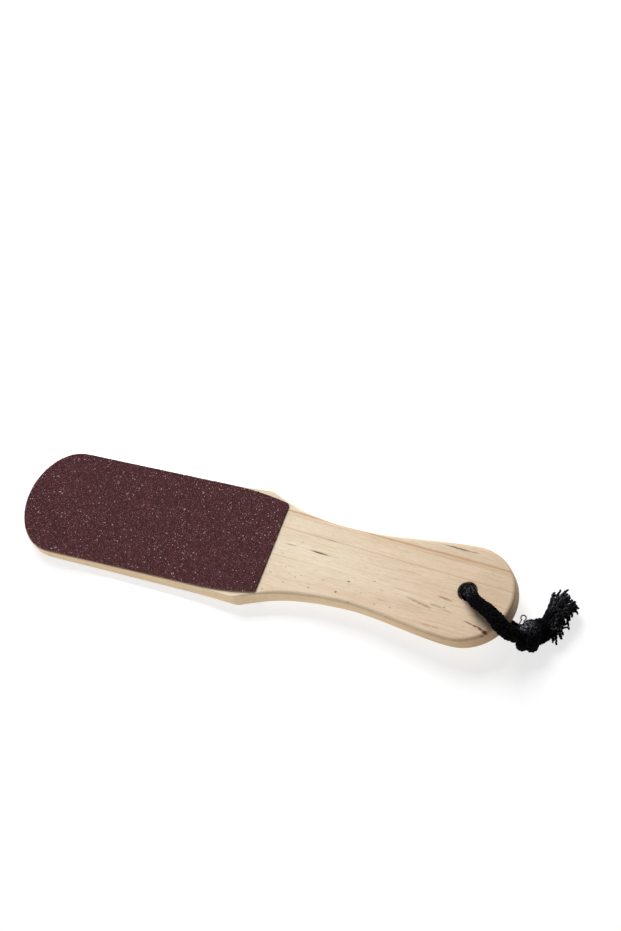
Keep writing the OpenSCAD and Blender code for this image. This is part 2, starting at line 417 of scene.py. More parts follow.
# %% Loose yarns
# Waves are shares of a yarn's length, thinning and lumps are shares of its thickness, and hooks are in mm.
wave_lengths = (0.16, 0.24)
upright_wave = 0.6
hook_spread = 0.36
thin_tip = 0.3
lumps = 0.1


def start_places(count, radius):
    """Places spread evenly over the cut of the cord, as seeds are in a sunflower."""
    golden = math.pi * (3 - math.sqrt(5))
    reaches = [radius * math.sqrt((seed + 0.5) / count) for seed in range(count)]
    return [(reach * math.cos(i * golden), reach * math.sin(i * golden)) for i, reach in enumerate(reaches)]


def loose_yarn(start, leaving, arriving, tip, wave_size, steps=30):
    """One crimped yarn from a start to a tip, with the steering points of its curve."""
    across = (tip - start).cross(UP).normalized()
    wave_turn, wave_long = chance.uniform(0, 6), chance.uniform(*wave_lengths)
    hook = Vector([chance.gauss(0, hook_spread) for _ in range(3)])
    yarn = []
    for step, point in enumerate(interpolate_bezier(start, leaving, arriving, tip, steps)):
        share = step / (steps - 1)
        wave = wave_size * ease(share * 3) * math.sin(FULL_TURN * share / wave_long + wave_turn)
        thin = 1 - thin_tip * ease((share - 0.9) / 0.1)
        moved = across * wave + UP * wave * upright_wave + hook * ease((share - 0.7) / 0.3)
        yarn.append((point + moved, thin * (1 + lumps * math.sin(step + wave_turn))))
    return yarn


def place_along(places, share):
    """The place at this share of a row of places."""
    spot = share * (len(places) - 1)
    low = min(int(spot), len(places) - 2)
    return Vector(places[low]).lerp(Vector(places[low + 1]), spot - low)


# %% Longer end
long_root = Vector((143.3, -6.6, 7.4))
long_heading = Vector((0.34, 0.94, -0.02))
long_count, long_cut_radius, long_yarn_thickness = 130, 2.8, 1.1
# The outer edge of the fan of tips, from its left side to its right side, seen from above.
fan_edge = [
    (144.4, 7.4), (143.6, 10), (143.2, 12), (144.6, 13.6), (146.7, 14.8), (149.0, 14.8), (151.2, 13.3),
    (153.2, 11.6), (155.3, 9.6), (156.2, 7.6), (155.5, 5.2), (154.8, 2.8), (153.4, 0.4), (151.8, -1),
]
fan_height = 7
fan_width = 5.4
fan_mixing = 0.18
# For the left and the right side of the fan: how much shorter a yarn may be, how far it goes straight on, and
# from where it comes to its tip.
shorter_by = (0.2, 0.7)
straight_on = (5.5, 9)
arriving_left, arriving_right = Vector((0.9, -2.8, 0.3)), Vector((-1, 6.5, 1))

long_yarns = []
for across, upright in start_places(long_count, long_cut_radius):
    turn = min(max(0.5 + across / fan_width + chance.uniform(-fan_mixing, fan_mixing), 0), 1)
    edge = place_along(fan_edge, turn).to_3d()
    tip = long_root.lerp(edge, 1 - share_between(*shorter_by, turn) * chance.random() ** 1.8)
    tip.z = fan_height + upright * 1.3 + chance.uniform(-0.9, 0.9)
    start = long_root + Vector((across, -0.15 * across, upright))
    leaving = start + long_heading * share_between(*straight_on, turn)
    arriving = tip + arriving_left.lerp(arriving_right, turn)
    long_yarns.append(loose_yarn(start, leaving, arriving, tip, chance.uniform(0.15, 0.38)))
long_tail = new_piece("long_frayed_end", [yarn_mesh(long_yarns, long_yarn_thickness)], "cord")
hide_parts("long_tail")

# %% Shorter end
short_root = Vector((142.6, -10.2, 6.4))
short_heading = Vector((0.84, 0.54, 0))
cut_middle = Vector((150, -2.9, 8.3))
cut_facing = Vector((0.25, -0.05, 0.97))
turned_up_length = 4.2
short_count, short_cut_radius, short_yarn_thickness = 56, 3.1, 1
hanging_steps = 16
hanging_tips = [
    (154.4, 0.4, 4.5), (155.0, -1.6, 4.2), (153.0, -4.9, 4), (152.3, -7.2, 3.6), (152.7, -6.4, 4.4),
    (151.1, -9.6, 3.6), (149.1, -9.4, 3.6), (150.4, -8.6, 4.4),
]

short_yarns = []
for across, upright in start_places(short_count, short_cut_radius):
    start = short_root + Vector((0.5 * across, -0.86 * across, upright))
    tip = cut_middle + Vector((upright, -across, -0.2 * upright)) + cut_facing * chance.uniform(-0.6, 0.4)
    leaving = start + short_heading * (turned_up_length - 0.5 * upright)
    arriving = tip - cut_facing * turned_up_length
    short_yarns.append(loose_yarn(start, leaving, arriving, tip, chance.uniform(0.05, 0.2)))
for tip_place in hanging_tips:
    tip = Vector(tip_place)
    outward = (tip - cut_middle).normalized()
    start = cut_middle + outward * 1.6 - cut_facing * 2.2
    leaving = start + cut_facing * 1.8 + outward * 1.8
    arriving = tip + Vector((-0.3, 1.4, 2))
    short_yarns.append(loose_yarn(start, leaving, arriving, tip, chance.uniform(0.1, 0.25), hanging_steps))
short_tail = new_piece("short_frayed_end", [yarn_mesh(short_yarns, short_yarn_thickness)], "cord")
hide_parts("short_tail")

# %% [markdown]
# ### A stray yarn and lint
#
# One thin yarn has been pulled out of the knot and stands up in a small ring. All over the cord short fibres
# stick out of the yarns. They are far thinner than a pixel, but together they blur the outline as real
# cotton does. The fibres start at random points of the yarns and bend as they go.

# %% Stray yarn and lint
ring_middle = Vector((135.6, -5, 14.3))
ring_right = Vector((0.91, 0.34, -0.25))
ring_up = Vector((-0.21, 0.87, 0.45))
ring_radius = 1.2
stray_thickness = 0.65
stray = [(Vector((136.4, -9.5, 12.2)), 1)]
for degrees in range(-75, 240, 20):
    turn = math.radians(degrees)
    stray.append((ring_middle + (ring_right * math.cos(turn) + ring_up * math.sin(turn)) * ring_radius, 1))
stray.append((Vector((133.9, -8.7, 12.6)), 0.8))

lint_chance = random.Random(4)
lint_count = 2600
lint_thickness = 0.07
lint_lengths = (0.9, 1.9)
lint_steps = 4
# Past this place along the handle there is no wood, nor below and above these heights.
wood_ends_at, wood_from, wood_to = 131.5, 5.5, 19.8


def lint_fibre(place):
    """One short fibre that grows out of a yarn and bends."""
    heading = Vector([lint_chance.gauss(0, 1) for _ in range(3)]).normalized()
    bend = heading.orthogonal().normalized()
    reach = lint_chance.uniform(*lint_lengths)
    fibre = [(place, 1)]
    for step in range(lint_steps):
        heading = Quaternion(bend, lint_chance.uniform(0, 0.5)) @ heading
        place = place + heading * reach / lint_steps
        fibre.append((place, 1 - 0.15 * step))
    return fibre


def touches_handle(place):
    """Whether a place lies in or close to the wood of the handle."""
    return place.x < wood_ends_at and wood_from < place.z < wood_to


cord_yarns = loop_yarns + turns_yarns + long_yarns + short_yarns
lint = []
while len(lint) < lint_count:
    fibre = lint_fibre(lint_chance.choice(lint_chance.choice(cord_yarns))[0])
    if not touches_handle(fibre[0][0]) and not touches_handle(fibre[-1][0]) and fibre[-1][0].z > 0:
        lint.append(fibre)
lint_meshes = [yarn_mesh([stray], stray_thickness), yarn_mesh(lint, lint_thickness, 0)]
cord_lint = new_piece("stray_yarn_and_lint", lint_meshes, "cord")

# %% [markdown]
# ## The wooden paddle
#
# The paddle is sawn from a board: its outline is cut, the rear of the blade is planed to a slope, the hole is
# drilled and the edges are sanded round. The mesh is made in the same order. Its outline is a face, which is
# extruded to the thickness of the board. Then the rear is moved to the slope and a Boolean drills the hole.

# %% Outline of the paddle
paddle_length = 260
blade_half = 55.2 / 2
tip_reach = 23
shoulder_at = 125.6
shoulder_half = 57.6 / 2
shoulder_softening = 2.4
flare_length = 30
waist_at = 179.6
waist_half = 37.8 / 2
end_radius = 24.2
end_center = paddle_length - end_radius
end_lean = 0.8
hole_center = end_center + 1.6
hole_radius = cord_diameter / 2 + 1.25
board_thickness = 10
tip_thickness = 4.9
taper_length = 107
handle_edge_radius = 1.8
blade_edge_radius = 0.4
edge_blend_length = 24
glue_thickness, paper_thickness, grit_thickness = 0.15, 0.5, 0.45
# Where the curves of the sides are steered to between two places, as shares of the way.
neck_steer, neck_drop_steer, waist_steer = 0.23, 0.49, 0.44
grip_steer, end_steer = 0.3, 0.72
arc_steps, side_steps, flare_steps, corner_steps = 28, 30, 8, 8

taper_angle = math.atan((board_thickness - tip_thickness) / taper_length)
sheet_stack = glue_thickness + paper_thickness + grit_thickness
lift = tip_thickness * math.cos(taper_angle) + sheet_stack
laid_length = paddle_length * math.cos(taper_angle) + board_thickness * math.sin(taper_angle)
laid = (
    Matrix.Translation(Vector((-laid_length / 2, 0, lift)) * MM)
    @ Matrix.Rotation(-taper_angle, 4, "Y")
    @ Matrix.Scale(MM, 4)
)


def curve_points(start, first_steer, second_steer, end, steps):
    """Points of a curve from start to end, with both ends."""
    corners = [Vector((*corner, 0)) for corner in (start, first_steer, second_steer, end)]
    return [(p.x, p.y) for p in interpolate_bezier(*corners, steps + 1)]


def arc_points(center, reach, half, first, last):
    """Points of a quarter of an ellipse about a center on the middle line."""
    turns = [math.radians(share_between(first, last, i / arc_steps)) for i in range(arc_steps + 1)]
    return [(center + reach * math.cos(turn), half * math.sin(turn)) for turn in turns]


def paddle_side():
    """The outline of one side of the paddle, from the tip of the blade to the end of the handle."""
    to_waist = waist_at - shoulder_at
    to_end = end_center - waist_at
    drop = waist_half - shoulder_half
    tip = arc_points(tip_reach, tip_reach, blade_half, 180, 90)
    flared = [step / flare_steps for step in range(flare_steps + 1)]
    flare = [
        (shoulder_at - flare_length * (1 - share), blade_half + (shoulder_half - blade_half) * share ** 2)
        for share in flared
    ]
    corner, waist = (shoulder_at, shoulder_half), (waist_at, waist_half)
    neck = curve_points(
        corner,
        (shoulder_at + to_waist * neck_steer, shoulder_half + drop * neck_drop_steer),
        (shoulder_at + to_waist * waist_steer, waist_half),
        waist, side_steps)
    grip = curve_points(
        waist,
        (waist_at + to_end * grip_steer, waist_half),
        (waist_at + to_end * end_steer, end_radius),
        (end_center, end_radius), side_steps)
    before = [p for p in flare if p[0] < shoulder_at - shoulder_softening]
    after = [p for p in neck if p[0] > shoulder_at + shoulder_softening]
    softened = curve_points(before[-1], corner, corner, after[0], corner_steps)[1:-1]
    end = arc_points(end_center, end_radius, end_radius, 90, 0)
    return tip + before + softened + after + grip[1:] + end[1:]


side = paddle_side()
both_sides = side + [(x, -y) for x, y in reversed(side[1:-1])]
outline = [(x, y - end_lean * ease((x - waist_at) / (end_center - waist_at))) for x, y in both_sides]
print("The outline of the paddle has", len(outline), "points")

# %% Saw, plane and drill the paddle
wood = bmesh.new()
front = wood.faces.new([wood.verts.new((x, y, 0)) for x, y in reversed(outline)])
front.normal_update()
if front.normal.z < 0:
    front.normal_flip()
board = bmesh.ops.extrude_face_region(wood, geom=[front], use_keep_orig=True)
lower = [part for part in board["geom"] if isinstance(part, bmesh.types.BMVert)]
bmesh.ops.translate(wood, verts=lower, vec=(0, 0, -board_thickness))
bmesh.ops.bisect_plane(
    wood,
    geom=wood.verts[:] + wood.edges[:] + wood.faces[:],
    plane_co=(taper_length, 0, 0),
    plane_no=(1, 0, 0),
)
for corner in wood.verts:
    if corner.co.z < -board_thickness / 2:
        sloped = -tip_thickness - corner.co.x * math.tan(taper_angle)
        corner.co.z = max(sloped, -board_thickness)
bmesh.ops.recalc_face_normals(wood, faces=wood.faces)

drill = bmesh.new()
bmesh.ops.create_cone(
    drill, cap_ends=True, segments=64, radius1=hole_radius, radius2=hole_radius,
    depth=board_thickness * 3, matrix=Matrix.Translation((hole_center, 0, 0)),
)
blank = add_shape("paddle_blank", wood)
bit = add_shape("drill", drill)
drilling = blank.modifiers.new("drilling", "BOOLEAN")
drilling.operation = "DIFFERENCE"
drilling.object = bit
drilling.solver = "EXACT"
drilled = finished_mesh(blank, bit)
print("The drilled paddle has", len(drilled.polygons), "faces")

# %% [markdown]
# ### Sanding the edges
#
# The edges of the blade are only eased, and those of the handle are rounded for the hand. One Bevel modifier
# does both: each edge carries a weight, and the weight grows from the shoulder towards the handle.

# %% Round the edges
shaped = bmesh.new()
shaped.from_mesh(drilled)
weights = shaped.edges.layers.float.new("bevel_weight_edge")
hole_weight = 0.3
hole_rim_width = 0.5
edge_sharpness = 0.5


def edge_weight(x):
    """Radius of the outer edges at this distance from the tip, as a share of the handle's."""
    grown = ease((x - shoulder_at) / edge_blend_length)
    return share_between(blade_edge_radius, handle_edge_radius, grown) / handle_edge_radius


for edge in shaped.edges:
    if len(edge.link_faces) != 2:
        continue
    a, b = (face.normal for face in edge.link_faces)
    middle = (edge.verts[0].co + edge.verts[1].co) / 2
    from_hole = math.hypot(middle.x - hole_center, middle.y)
    if abs(abs(a.z) - abs(b.z)) > edge_sharpness:
        in_hole = from_hole < hole_radius + hole_rim_width
        edge[weights] = hole_weight if in_hole else edge_weight(middle.x)
for face in shaped.faces:
    face.smooth = True
shaped.transform(laid)
paddle = add_shape("birch_paddle", shaped)
sanding = paddle.modifiers.new("sanded_edges", "BEVEL")
sanding.limit_method = "WEIGHT"
sanding.width = handle_edge_radius * MM
sanding.segments = 4
sanding.profile = 0.5
sanding.use_clamp_overlap = False
sanding.harden_normals = True
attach(paddle, "file")
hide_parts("paddle")
print("The paddle is", round(paddle.dimensions.x / MM, 1), "mm long")

# %% [markdown]
# ## The grit
#
# Coated abrasive is made by gluing sharp mineral grains upright on paper. The light catches single grains,
# and that sparkle is what makes the sheet look rough. So the coat is a thin bed of resin, copied from the CAD
# layer with its outer face lowered, and thousands of small pyramids that stand in it. A Geometry Nodes
# modifier scatters them evenly with a fixed seed and gives each its own turn, size and shade. A few large
# pale grains lie flatter than the rest. Along the cut edge of the sheet the grains have broken out, so the
# ground that they are scattered on is drawn in there.
#
# Real grains are about 0.2 mm wide on the coarse sheet and 0.1 mm on the fine one, and a pixel of the
# picture is half a millimetre. So what stands out of the resin is drawn about twice as wide and as far apart,
# or single grains wouldn't show.

# %% A single grain
grain_sides, grain_radius, grain_height = 5, 0.6, 0.9
tip_offset = 0.16
grain_depth = 0.16
bare_rim = 0.4
pale_share = 0.965
pale_width = 1.3
# Grains that are tried for each square of the spacing, before those that stand too close are left out.
crowding = 3
# How far a grain leans, in radians, and the shade of the darkest grains.
grain_lean = 0.5
darkest_shade = 0.05


def grain_object():
    """One grain: a crooked pyramid with five sides and a base one unit wide."""
    crystal = bmesh.new()
    bmesh.ops.create_cone(
        crystal, cap_ends=False, segments=grain_sides, radius1=grain_radius, radius2=0, depth=grain_height)
    bmesh.ops.remove_doubles(crystal, verts=crystal.verts, dist=0.001)
    tip = max(crystal.verts, key=lambda corner: corner.co.z)
    tip.co.x += tip_offset
    return add_shape("grain", crystal)


def node(tree, kind, settings=None, inputs=None):
    """Adds a node to a tree, with its settings, its socket values and its links.

    Where an input is given a node, it is linked to the first output of that node."""
    made = tree.nodes.new(kind)
    for name, value in (settings or {}).items():
        setattr(made, name, value)
    for name, value in (inputs or {}).items():
        if isinstance(value, bpy.types.Node):
            tree.links.new(value.outputs[0], made.inputs[name])
        elif isinstance(value, bpy.types.NodeSocket):
            tree.links.new(value, made.inputs[name])
        else:
            made.inputs[name].default_value = value
    return made


def scatter_tree(grain, spacing, smallest, largest, seed):
    """The node tree that sets grains out over a mesh."""
    tree = bpy.data.node_groups.new("set_out_grains", "GeometryNodeTree")
    tree.interface.new_socket(name="Bed", in_out="INPUT", socket_type="NodeSocketGeometry")
    tree.interface.new_socket(name="Grains", in_out="OUTPUT", socket_type="NodeSocketGeometry")
    bed = node(tree, "NodeGroupInput")
    spots = node(tree, "GeometryNodeDistributePointsOnFaces", {"distribute_method": "POISSON"}, {
        "Mesh": bed,
        "Distance Min": spacing * MM,
        "Density Max": crowding / (spacing * MM) ** 2,
        "Seed": seed,
    })
    turn = node(tree, "FunctionNodeRandomValue", {"data_type": "FLOAT_VECTOR"}, {
        0: (-grain_lean, -grain_lean, 0), 1: (grain_lean, grain_lean, FULL_TURN), "Seed": seed + 1,
    })
    as_rotation = node(tree, "FunctionNodeEulerToRotation", {}, {0: turn})
    tilt = node(tree, "FunctionNodeRotateRotation", {"rotation_space": "LOCAL"}, {
        0: spots.outputs["Rotation"], 1: as_rotation,
    })
    shade = node(tree, "FunctionNodeRandomValue", {"data_type": "FLOAT"}, {
        2: darkest_shade, 3: 1.0, "Seed": seed + 3,
    })
    is_pale = node(tree, "ShaderNodeMath", {"operation": "GREATER_THAN"}, {
        0: shade.outputs[1], 1: pale_share,
    })
    wider = node(tree, "ShaderNodeMath", {"operation": "MULTIPLY_ADD"}, {
        0: is_pale, 1: pale_width - 1, 2: 1.0,
    })
    flat = node(tree, "ShaderNodeCombineXYZ", {}, {0: wider, 1: wider, 2: 1.0})
    size = node(tree, "FunctionNodeRandomValue", {"data_type": "FLOAT_VECTOR"}, {
        0: (smallest * MM,) * 3, 1: (largest * MM,) * 3, "Seed": seed + 2,
    })
    sized = node(tree, "ShaderNodeVectorMath", {"operation": "MULTIPLY"}, {0: size, 1: flat})
    shape = node(tree, "GeometryNodeObjectInfo", {}, {"Object": grain})
    placed = node(tree, "GeometryNodeInstanceOnPoints", {}, {
        "Points": spots.outputs["Points"],
        "Instance": shape.outputs["Geometry"],
        "Rotation": tilt,
        "Scale": sized,
    })
    marked = node(tree, "GeometryNodeStoreNamedAttribute", {"data_type": "FLOAT", "domain": "INSTANCE"}, {
        "Geometry": placed, "Name": "grain_shade", "Value": shade.outputs[1],
    })
    real = node(tree, "GeometryNodeRealizeInstances", {}, {0: marked})
    node(tree, "NodeGroupOutput", {}, {0: real})
    return tree


# %% Grit coats


def grit_coat(name, cad_node, outward, spacing, smallest, largest, seed):
    """A bed of resin with grains standing in it, in place of a CAD layer of grit."""
    bed = bmesh.new()
    bed.from_mesh(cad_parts[cad_node].data)
    bmesh.ops.remove_doubles(bed, verts=bed.verts, dist=0.00001)
    bed.normal_update()
    outer_faces = [face for face in bed.faces if face.normal.z * outward > 0.9]
    outer = {corner for face in outer_faces for corner in face.verts}
    bmesh.ops.translate(bed, verts=list(outer), vec=(0, 0, -outward * grain_depth * MM))
    bed_mesh = named_mesh("resin_bed", bed.copy())
    bmesh.ops.delete(bed, geom=[face for face in bed.faces if face not in outer_faces], context="FACES")
    rim = bmesh.ops.inset_region(bed, faces=bed.faces[:], thickness=bare_rim * MM, use_even_offset=True)
    bmesh.ops.delete(bed, geom=rim["faces"], context="FACES")
    ground = add_shape("grain_ground", bed)
    grain = grain_object()
    scattering = ground.modifiers.new("grains", "NODES")
    scattering.node_group = scatter_tree(grain, spacing, smallest, largest, seed)
    grains_mesh = finished_mesh(ground, grain)
    coat = new_piece(name, [bed_mesh, grains_mesh], "file")
    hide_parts(cad_node)
    return coat


front_coat = grit_coat(
    "coarse_grit_coat", "front_grit", outward=1, spacing=0.56, smallest=0.5, largest=0.72, seed=5)
rear_coat = grit_coat(
    "fine_grit_coat", "rear_grit", outward=-1, spacing=0.44, smallest=0.3, largest=0.42, seed=9)

# %% [markdown]
# ## Finishes
#
# Every finish is made of nodes. Colours are written as the hex values that a colour picker shows, and one
# function turns them to the linear values that the renderer works in. A finish starts from its coordinates,
# and its shader comes last, with a value or a link for each socket that matters.

# %% Colour and finish helpers
MIXED = {"data_type": "RGBA"}
MULTIPLIED = {"data_type": "RGBA", "blend_type": "MULTIPLY"}
SMOOTH = {"interpolation_type": "SMOOTHSTEP"}
# A Mapping node of this kind moves, turns and scales the pattern, and not the coordinates.
PLACED = {"vector_type": "TEXTURE"}
WHITE = (1, 1, 1, 1)


def linear(hex_colour):
    """A hex colour as linear red, green, blue and alpha."""
    parts = [int(hex_colour[i:i + 2], 16) / 255 for i in (1, 3, 5)]
    linear_parts = [part / 12.92 if part <= 0.04045 else ((part + 0.055) / 1.055) ** 2.4 for part in parts]
    return (*linear_parts, 1)


def new_finish(name):
    """An empty material with its tree and its coordinates."""
    finish = bpy.data.materials.new(name)
    finish.use_nodes = True
    finish.node_tree.nodes.clear()
    return finish, finish.node_tree, node(finish.node_tree, "ShaderNodeTexCoord")


def patchy(tree, place, noise, low, high, strength, colour, shade, mixing=MIXED):
    """Patches of a shade on a colour, where a noise lies between low and high or above.

    It gives the new colour, the strength of the patches and the noise that they come from."""
    cloud = node(tree, "ShaderNodeTexNoise", {}, {"Vector": place, **noise})
    shown = node(tree, "ShaderNodeMapRange", {}, {
        "Value": cloud, "From Min": low, "From Max": high, "To Max": strength,
    })
    mixed = node(tree, "ShaderNodeMix", mixing, {0: shown, 6: colour, 7: linear(shade)})
    return mixed.outputs[2], shown, cloud


def shaded(finish, sockets):
    """A material with its shader, whose sockets get these values and links."""
    shader = node(finish.node_tree, "ShaderNodeBsdfPrincipled", {}, sockets)
    node(finish.node_tree, "ShaderNodeOutputMaterial", {}, {"Surface": shader})
    return finish


print("Colours are linear, such as", [round(part, 3) for part in linear("#808080")])

# %% [markdown]
# ### Birch
#
# Birch is pale and plain. Its grain is fine straight streaks, with a few tan lines where one year's growth
# ends, small dark pores, and pith flecks, which are short brown streaks left by insects. The pattern is
# solid: it is worked out in millimetres from the tip of the blade, so it runs on round the edges of the
# board.
#
# The marks below are the ones that this board has. Each is a soft ellipse: distance from the tip, distance
# from the middle, half length, half width, tilt in degrees and strength.

# %% Marks in this board
pith_flecks = [
    (160.6, 2.7, 7.6, 0.6, -4.3, 1), (161, 2.7, 11, 0.5, -3.8, 0.35), (145.1, 3.6, 4.5, 0.45, -2.4, 0.5),
    (164.3, 10.1, 3.4, 0.4, -2.8, 0.35), (226.4, 19.85, 10, 0.55, -3.3, 0.9),
    (234.4, 19.5, 3.4, 0.45, 0, 0.6),
]
rusty_flecks = [
    (243.2, -15.05, 3.8, 0.55, -15.7, 0.8), (246.7, -15.8, 3.2, 0.6, -7.4, 0.95),
    (249.4, -16.6, 2.8, 0.9, -26.6, 1), (251.9, -17.6, 2.6, 1.25, -17.7, 1),
    (252.8, -18.5, 1.6, 1.2, -70, 1), (251.6, -19.6, 2.5, 1.0, 28, 1),
]
pores = [
    (140.2, -12.1, 0.7, 0.5, 0, 0.6), (146.8, -7.9, 0.6, 0.45, 0, 0.5), (153.2, -11.8, 0.8, 0.5, 0, 0.6),
    (155.9, -10.4, 0.7, 0.45, 0, 0.55), (149.7, -10.6, 0.6, 0.4, 0, 0.45), (148.2, -15.7, 0.8, 0.5, 0, 0.5),
    (161.5, -15.5, 0.9, 0.55, 0, 0.7), (167.2, -10.2, 0.9, 0.5, 0, 0.55), (179.9, -8.1, 1.1, 0.6, 0, 0.95),
    (192.2, -5.3, 0.9, 0.5, 0, 0.55), (175.4, -14.6, 0.95, 0.7, 0, 1), (187.6, -12.4, 0.8, 0.5, 0, 0.55),
    (196, -16.2, 0.9, 0.5, 0, 0.5), (183.2, -18.1, 1.1, 0.5, 0, 0.5), (203.3, -21.7, 1.5, 1.2, 0, 1),
    (139.4, -21.4, 0.9, 0.6, 0, 0.5), (204.1, -16.2, 0.8, 0.5, 0, 0.5), (229.4, -10.3, 0.8, 0.55, 0, 0.8),
    (150.2, 6.3, 0.7, 0.5, 0, 0.55),
]
worn_grain = [
    (214.6, -10.2, 3.4, 0.9, -6, 0.6), (217.4, -10.9, 3, 0.9, -8, 0.6), (220.5, -11.5, 4.4, 1, -10, 0.65),
    (224, -10.2, 3, 0.9, -6, 0.5), (226.8, -10.5, 3, 0.8, -6, 0.55), (228.2, -5.85, 5.6, 0.75, -9.6, 0.8),
    (212, -9.6, 3.4, 0.7, -8, 0.4), (231, -11.6, 4.4, 0.7, -8, 0.35), (224, -20.4, 4, 0.9, -4, 0.4),
    (228.4, -20.6, 3.4, 0.8, -4, 0.4), (206, -6.2, 7, 0.6, -4, 0.25),
    (199, -13.5, 7, 0.8, -4, 0.3), (236, -4.2, 5, 0.5, -5, 0.3), (208, 3.2, 8, 0.5, -4, 0.25),
]
blushes = [
    (180, -14.6, 26, 2.6, -3.4, 0.5), (223.1, -4.9, 5, 1.1, -4, 0.6), (228.4, -19.75, 5, 0.8, -2, 0.6),
    (246, -8, 12, 2.2, -4, 0.5), (150, -20, 16, 2, -3, 0.3), (238, 8, 16, 2.4, -4, 0.3),
]
# Each line: a place on it, its tilt in degrees, its half width and its strength.
growth_lines = [
    (136.6, 20.7, -3.35, 0.38, 1.1), (136.6, 19.4, -3.35, 0.7, 0.35), (141.8, 11.7, -3.7, 0.24, 0.6),
    (140, -2.6, -3.6, 0.2, 0.22),
]
# Each kind of mark: its marks, how deep they go in millimetres, and its colour.
kinds_of_mark = [
    (blushes, 4, "#dcbb9f"), (worn_grain, 3, "#96794f"), (rusty_flecks, 3, "#6b3428"),
    (pith_flecks, 3, "#5f4a30"), (pores, 2, "#7d6344"),
]
print(sum(len(marks) for marks, _, _ in kinds_of_mark), "marks in the wood")

# %% Birch


def marks_mask(tree, millimetres, marks, depth):
    """How strongly a point of the wood lies in one of the marks, from 0 to 1."""
    total = None
    for x, y, long, wide, tilt, strength in marks:
        local = node(tree, "ShaderNodeMapping", PLACED, {
            "Vector": millimetres,
            "Location": (x, y, 0),
            "Rotation": (0, 0, math.radians(tilt)),
            "Scale": (long, wide, depth),
        })
        away = node(tree, "ShaderNodeVectorMath", {"operation": "LENGTH"}, {0: local})
        here = node(tree, "ShaderNodeMapRange", SMOOTH, {
            "Value": away.outputs["Value"], "From Min": 0.25, "From Max": 1.0,
            "To Min": strength, "To Max": 0.0,
        })
        larger = {0: total, 1: here}
        total = here if total is None else node(tree, "ShaderNodeMath", {"operation": "MAXIMUM"}, larger)
    return total


